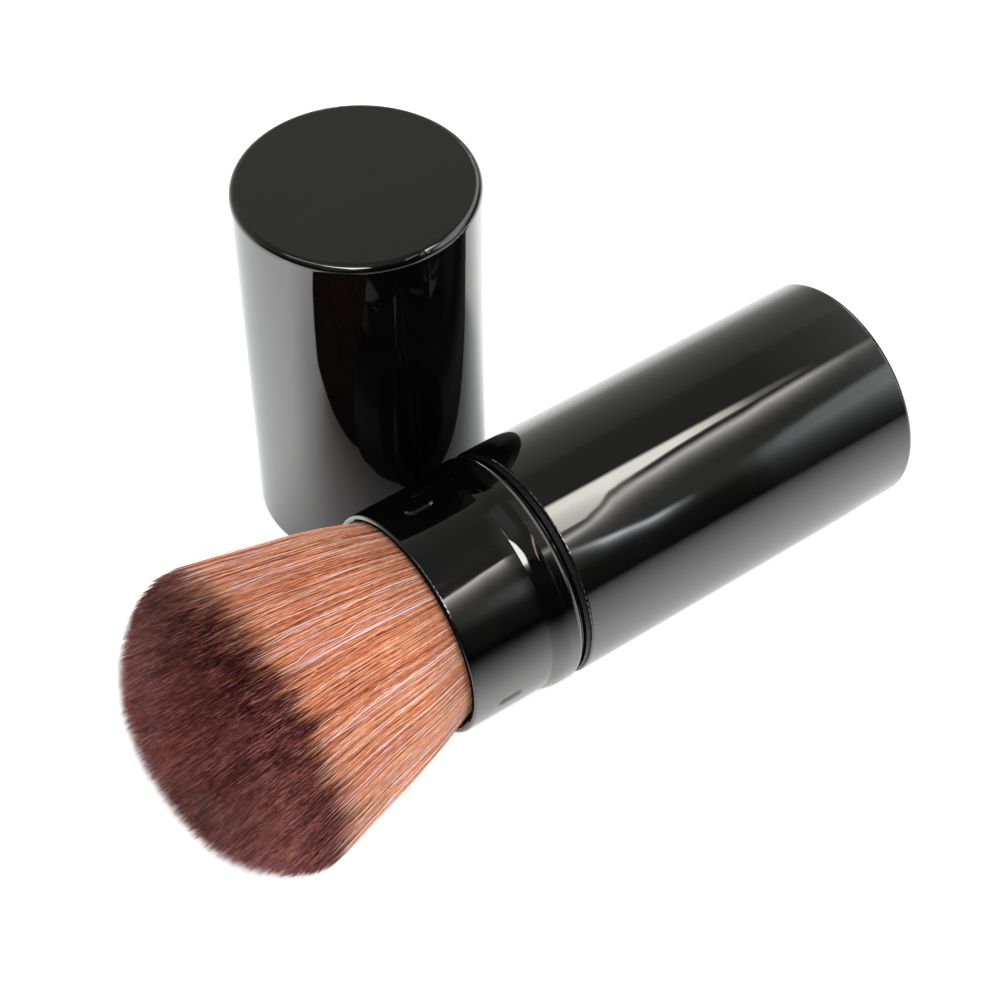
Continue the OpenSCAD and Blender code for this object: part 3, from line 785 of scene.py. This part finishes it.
def layStrands(shape, path, thick):
    # copies the modelled strand along every path
    points = shape["points"]
    ring = np.rint(points[:, 2] * shape["rings"]).astype(int)
    width = np.maximum(1 - points[:, 2:3], 1e-6)
    around = np.where(ring[:, None] < shape["rings"], points[:, :2] / width, 0)
    tangent = np.gradient(path, axis=1)
    tangent /= np.linalg.norm(tangent, axis=2, keepdims=True)
    outward = path * (1, 1, 0)
    side = np.cross(tangent, outward)
    side /= np.maximum(np.linalg.norm(side, axis=2, keepdims=True), 1e-9)
    across = np.cross(tangent, side)
    offset = side[:, ring] * around[None, :, :1] + across[:, ring] * around[None, :, 1:]
    placed = path[:, ring] + offset * thick[:, ring][..., None]
    first = (np.arange(len(path)) * len(points))[:, None, None]
    return placed.reshape(-1, 3), (shape["faces"][None] + first).reshape(-1, 3), ring


def toRow(p):
    return np.stack([mouthX - p[:, 2] * mm, axisY + p[:, 1] * mm, axisZ + p[:, 0] * mm], -1)


# In the copper ramp the stops at 0.92 and 1.00 are painted highlights: white and lilac glints
copperStops = [
    (0.00, (0.150, 0.034, 0.018)),
    (0.14, (0.420, 0.105, 0.045)),
    (0.36, (0.740, 0.245, 0.115)),
    (0.62, (0.880, 0.390, 0.220)),
    (0.84, (0.960, 0.570, 0.390)),
    (0.92, (1.000, 0.800, 0.710)),
    (1.00, (0.880, 0.700, 0.930)),
]
maroonStops = [
    (0.00, (0.014, 0.002, 0.002)),
    (0.40, (0.052, 0.009, 0.009)),
    (0.70, (0.135, 0.030, 0.028)),
    (1.00, (0.320, 0.100, 0.088)),
]
tipStops = [
    (0.00, (0.022, 0.003, 0.003)),
    (0.40, (0.115, 0.020, 0.018)),
    (0.70, (0.340, 0.092, 0.078)),
    (1.00, (0.720, 0.300, 0.260)),
]
fibreLook = {
    "flecks": {"Scale": 4000.0, "Detail": 1.0, "Low": 0.25, "High": 0.75},
    "copperFlecks": ((0.17, 1, 1), 0.5, 0.30),       # stretch, middle and strength
    "dyedFlecks": ((0.30, 1, 1), 0.53, 0.80),
    "rootShade": (0.20, 0.30),                       # reaches this far, and how dark it is
    "tips": (0.53, 0.72),                            # from maroon to the tip colours, lighter towards the tips
    "dyeEdge": (0.445, 0.525),
    "rough": (0.3, 0.7, 0.38, 0.58),
    "ior": 1.30,
    "paintedMirrorShadeKeep": 0.08,                           # painted shade: in mirrors the fibres keep only this share of their colour, standing in for shade on the tuft's far side
}


def addFlecks(t, look, toneAndPaintedLight, stretch, middle, strength):
    flecks = t.group(surfaceGrain, Vector=t.objectPlace(stretch), **look["flecks"])
    return t.math("ADD", toneAndPaintedLight, t.math("MULTIPLY", t.math("SUBTRACT", flecks, middle), strength))


def bristleFibre(look):
    # in the strand map u is a strand's tone together with its painted light and shade, and v its place
    # along the tuft, with 0.5 at the dye's edge
    material, t = newMaterial("bristleFibre")
    uv = t.node("ShaderNodeUVMap", uv_map="strandMap")
    split = t.node("ShaderNodeSeparateXYZ")
    t.link(uv.outputs[0], split.inputs[0])
    toneAndPaintedLight, along = split.outputs[0], split.outputs[1]
    black = (0, 0, 0, 1)
    copper = t.colours(addFlecks(t, look, toneAndPaintedLight, *look["copperFlecks"]), copperStops).outputs["Color"]
    shade = addFlecks(t, look, toneAndPaintedLight, *look["dyedFlecks"])
    maroon = t.colours(shade, maroonStops).outputs["Color"]
    tips = t.colours(shade, tipStops).outputs["Color"]
    rootReach, rootDark = look["rootShade"]
    copper = t.mix(t.ramp(along, 0.0, rootReach, rootDark, 0.0), copper, black)
    dyed = t.mix(t.ramp(along, *look["tips"]), maroon, tips)
    colour = t.mix(t.ramp(along, *look["dyeEdge"]), copper, dyed)
    # Painted shade: for glossy rays the fibres are darkened, so their mirror image in the cap is dark
    rays = t.node("ShaderNodeLightPath")
    paintedMirrorShade = t.math("MULTIPLY", rays.outputs["Is Glossy Ray"], 1 - look["paintedMirrorShadeKeep"])
    colour = t.mix(paintedMirrorShade, colour, black)
    rough = t.ramp(along, *look["rough"], smooth=False)
    t.principled(Base_Color=colour, Roughness=rough, IOR=look["ior"])
    return material


def makeMesh(name, points, faces, uv, material):
    mesh = bpy.data.meshes.new(name)
    mesh.vertices.add(len(points))
    mesh.vertices.foreach_set("co", points.astype(np.float32).ravel())
    mesh.loops.add(len(faces) * 3)
    mesh.loops.foreach_set("vertex_index", faces.astype(np.int32).ravel())
    mesh.polygons.add(len(faces))
    mesh.polygons.foreach_set("loop_start", (np.arange(len(faces)) * 3).astype(np.int32))
    mesh.polygons.foreach_set("use_smooth", np.ones(len(faces), bool))
    layer = mesh.uv_layers.new(name="strandMap")
    layer.data.foreach_set("uv", uv[faces.ravel()].astype(np.float32).ravel())
    mesh.update()
    mesh.validate()
    mesh.materials.append(material)
    piece = bpy.data.objects.new(name, mesh)
    bpy.context.scene.collection.objects.link(piece)
    return piece


def drawStrands(s, rng):
    # what sets each strand apart: its place, length, bends, and its tone with painted light and shade
    count = s["count"]
    share, turn = evenSpread(count)
    share = np.clip(share + rng.normal(0, s["spread"], count), *s["spreadRange"])
    lock, middle = findLocks(s["locks"], s["lockSpread"], rng, share, turn)
    fine, _ = findLocks(s["fineLocks"], s["lockSpread"], rng, share, turn)
    lockLift = rng.normal(0, 1, s["locks"])
    fineLift = rng.normal(0, 1, s["fineLocks"])
    lockTint = rng.random(s["locks"])
    fineTint = rng.random(s["fineLocks"])
    byLock, byFine, byStrand = s["dyeSpread"]
    dome = (1 - np.minimum(share, 1) ** s["domeFlat"]) ** (1 / s["domeRound"])
    top = s["sideZ"][-1] + s["domeRise"] * dome
    reach = top - s["ragged"] * np.abs(rng.normal(0, 1, count)) + s["lockLift"] * lockLift[lock]
    reach = reach + s["fineLift"] * np.clip(fineLift[fine], *s["fineLiftRange"])
    depth = s["lockDepth"] * np.clip(lockLift[lock], *s["lockDepthRange"])
    depth = depth + s["fineDepth"] * np.clip(fineLift[fine], *s["fineDepthRange"])
    depth = depth + rng.normal(0, s["strandDepth"], count)
    lift = rng.uniform(*s["strayLift"], count)
    wave = rng.uniform(0, s["wave"], count)
    stray = rng.random(count) < s["strayShare"]
    wave = np.where(stray, rng.uniform(*s["strayWave"], count), wave)
    depth = np.where(stray & (rng.random(count) < s["strayOutShare"]), lift, depth)
    # Painted light: strands towards the far rim get paler tips
    paintedFarFrom, paintedFarWidth = s["paintedFarFrom"]
    paintedFarLight = (0.5 - 0.5 * np.cos(turn - s["paintedFarTurn"])) * np.clip((share - paintedFarFrom) / paintedFarWidth, 0, 1)
    ofStrand, ofFine, ofLock, ofPaintedDepthShade, ofAll = s["tintShares"]
    toneAndPaintedLight = ofStrand * rng.random(count) + ofFine * fineTint[fine] + ofLock * lockTint[lock]
    # Painted shade: strands lying deeper in the tuft are darker, those standing out paler
    toneAndPaintedLight = toneAndPaintedLight + ofPaintedDepthShade * depth + ofAll
    # Painted light: the low side by the table and the top side are made paler
    for towards, power, paintedLift in (s["paintedLowLight"], s["paintedTopLight"]):
        toneAndPaintedLight = toneAndPaintedLight + paintedLift * np.clip(np.cos(turn - towards), 0, 1) ** power
    # Painted highlights: a share of strands take the glint colours at the top of the copper ramp
    paintedGlint = rng.random(count) < s["paintedGlintShare"]
    toneAndPaintedLight = np.where(paintedGlint, rng.uniform(*s["paintedGlintTone"], count), np.clip(toneAndPaintedLight, 0, s["tintMost"]))
    ofStrand, ofFine, ofPaintedLiftLight = s["tipShares"]
    tipToneAndPaintedLight = ofStrand * rng.random(count) + ofFine * fineTint[fine] ** s["tipPower"]
    # Painted light: tips of fine locks that stand out are paler
    tipToneAndPaintedLight = tipToneAndPaintedLight + ofPaintedLiftLight * fineLift[fine] + s["paintedFarLift"] * paintedFarLight
    # Painted light and shade: tips on the low rim are paler, those further in darker
    towards, power = s["paintedRimSide"]
    paintedRimSide = np.clip(np.cos(turn - towards), 0, 1) ** power
    tipToneAndPaintedLight = tipToneAndPaintedLight + paintedRimSide * np.interp(share, s["paintedRimFrom"], s["paintedRimLift"])
    dye = s["dyeZ"] - s["dyeTilt"] * np.cos(turn - s["dyeTurn"])
    dye = dye + rng.normal(0, byLock, s["locks"])[lock] + rng.normal(0, byFine, s["fineLocks"])[fine]
    dye = np.minimum(dye + rng.normal(0, byStrand, count), reach - s["dyedTip"])
    return {
        "share": share,
        "turn": turn,
        "reach": reach,
        "depth": depth,
        "wave": wave,
        "toneAndPaintedLight": toneAndPaintedLight,
        "dye": dye,
        "tipToneAndPaintedLight": np.clip(tipToneAndPaintedLight, 0, 1),
        "phase": rng.uniform(0, 2 * math.pi, count),
        "beat": rng.uniform(*s["beat"], count),
        "drift": rng.normal(0, s["drift"], count),
        "pull": s["lockPull"] * rng.uniform(*s["pullShares"], count),
        "lockEnd": middle[lock] + rng.normal(0, s["lockSpread"], (count, 2)),
        "width": rng.uniform(*s["widths"], count),
    }


def makeBristles(s):
    rng = np.random.default_rng(s["seed"])
    strands = drawStrands(s, rng)
    material = bristleFibre(fibreLook)
    sector = np.floor(strands["turn"] / (2 * math.pi) * s["sectors"]).astype(int) % s["sectors"]
    outer = strands["share"] > s["outerShare"]
    shapes = [(~outer, modelStrand(s["innerRings"])), (outer, modelStrand(s["outerRings"]))]
    made = []
    for k in range(s["sectors"]):
        points, faces, uvs, base = [], [], [], 0
        for chosen, shape in shapes:
            picked = {name: values[chosen & (sector == k)] for name, values in strands.items()}
            steps = np.linspace(0, 1, shape["rings"] + 1) ** s["stepPower"]
            path = sagAndPress(layPaths(s, picked, steps), s)
            taper = np.interp(steps, s["taperAt"], [1.0, 1.0, s["taperLate"], s["tipThick"] / s["thick"]])
            thick = s["thick"] * taper[None, :] * picked["width"][:, None]
            p, f, ring = layStrands(shape, path, thick)
            z = path[:, ring, 2]
            dye = picked["dye"][:, None]
            v = np.clip(0.5 + (z - dye) / s["mapLength"], 0, 1)
            u = np.where(z < dye, picked["toneAndPaintedLight"][:, None], picked["tipToneAndPaintedLight"][:, None])
            points.append(p)
            faces.append(f + base)
            uvs.append(np.stack([u, v], -1).reshape(-1, 2))
            base += len(p)
        name = "bristles_%02d" % (k + 1)
        points, faces, uvs = np.concatenate(points), np.concatenate(faces), np.concatenate(uvs)
        made.append(makeMesh(name, toRow(points), faces, uvs, material))
    return made


tufts = makeBristles(bristleSetup)
for k, tuft in enumerate(tufts):
    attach(tuft, "handle")
    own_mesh(tuft)
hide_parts("bristles")
print("bristles laid:", sum(len(t.data.polygons) for t in tufts), "triangles")
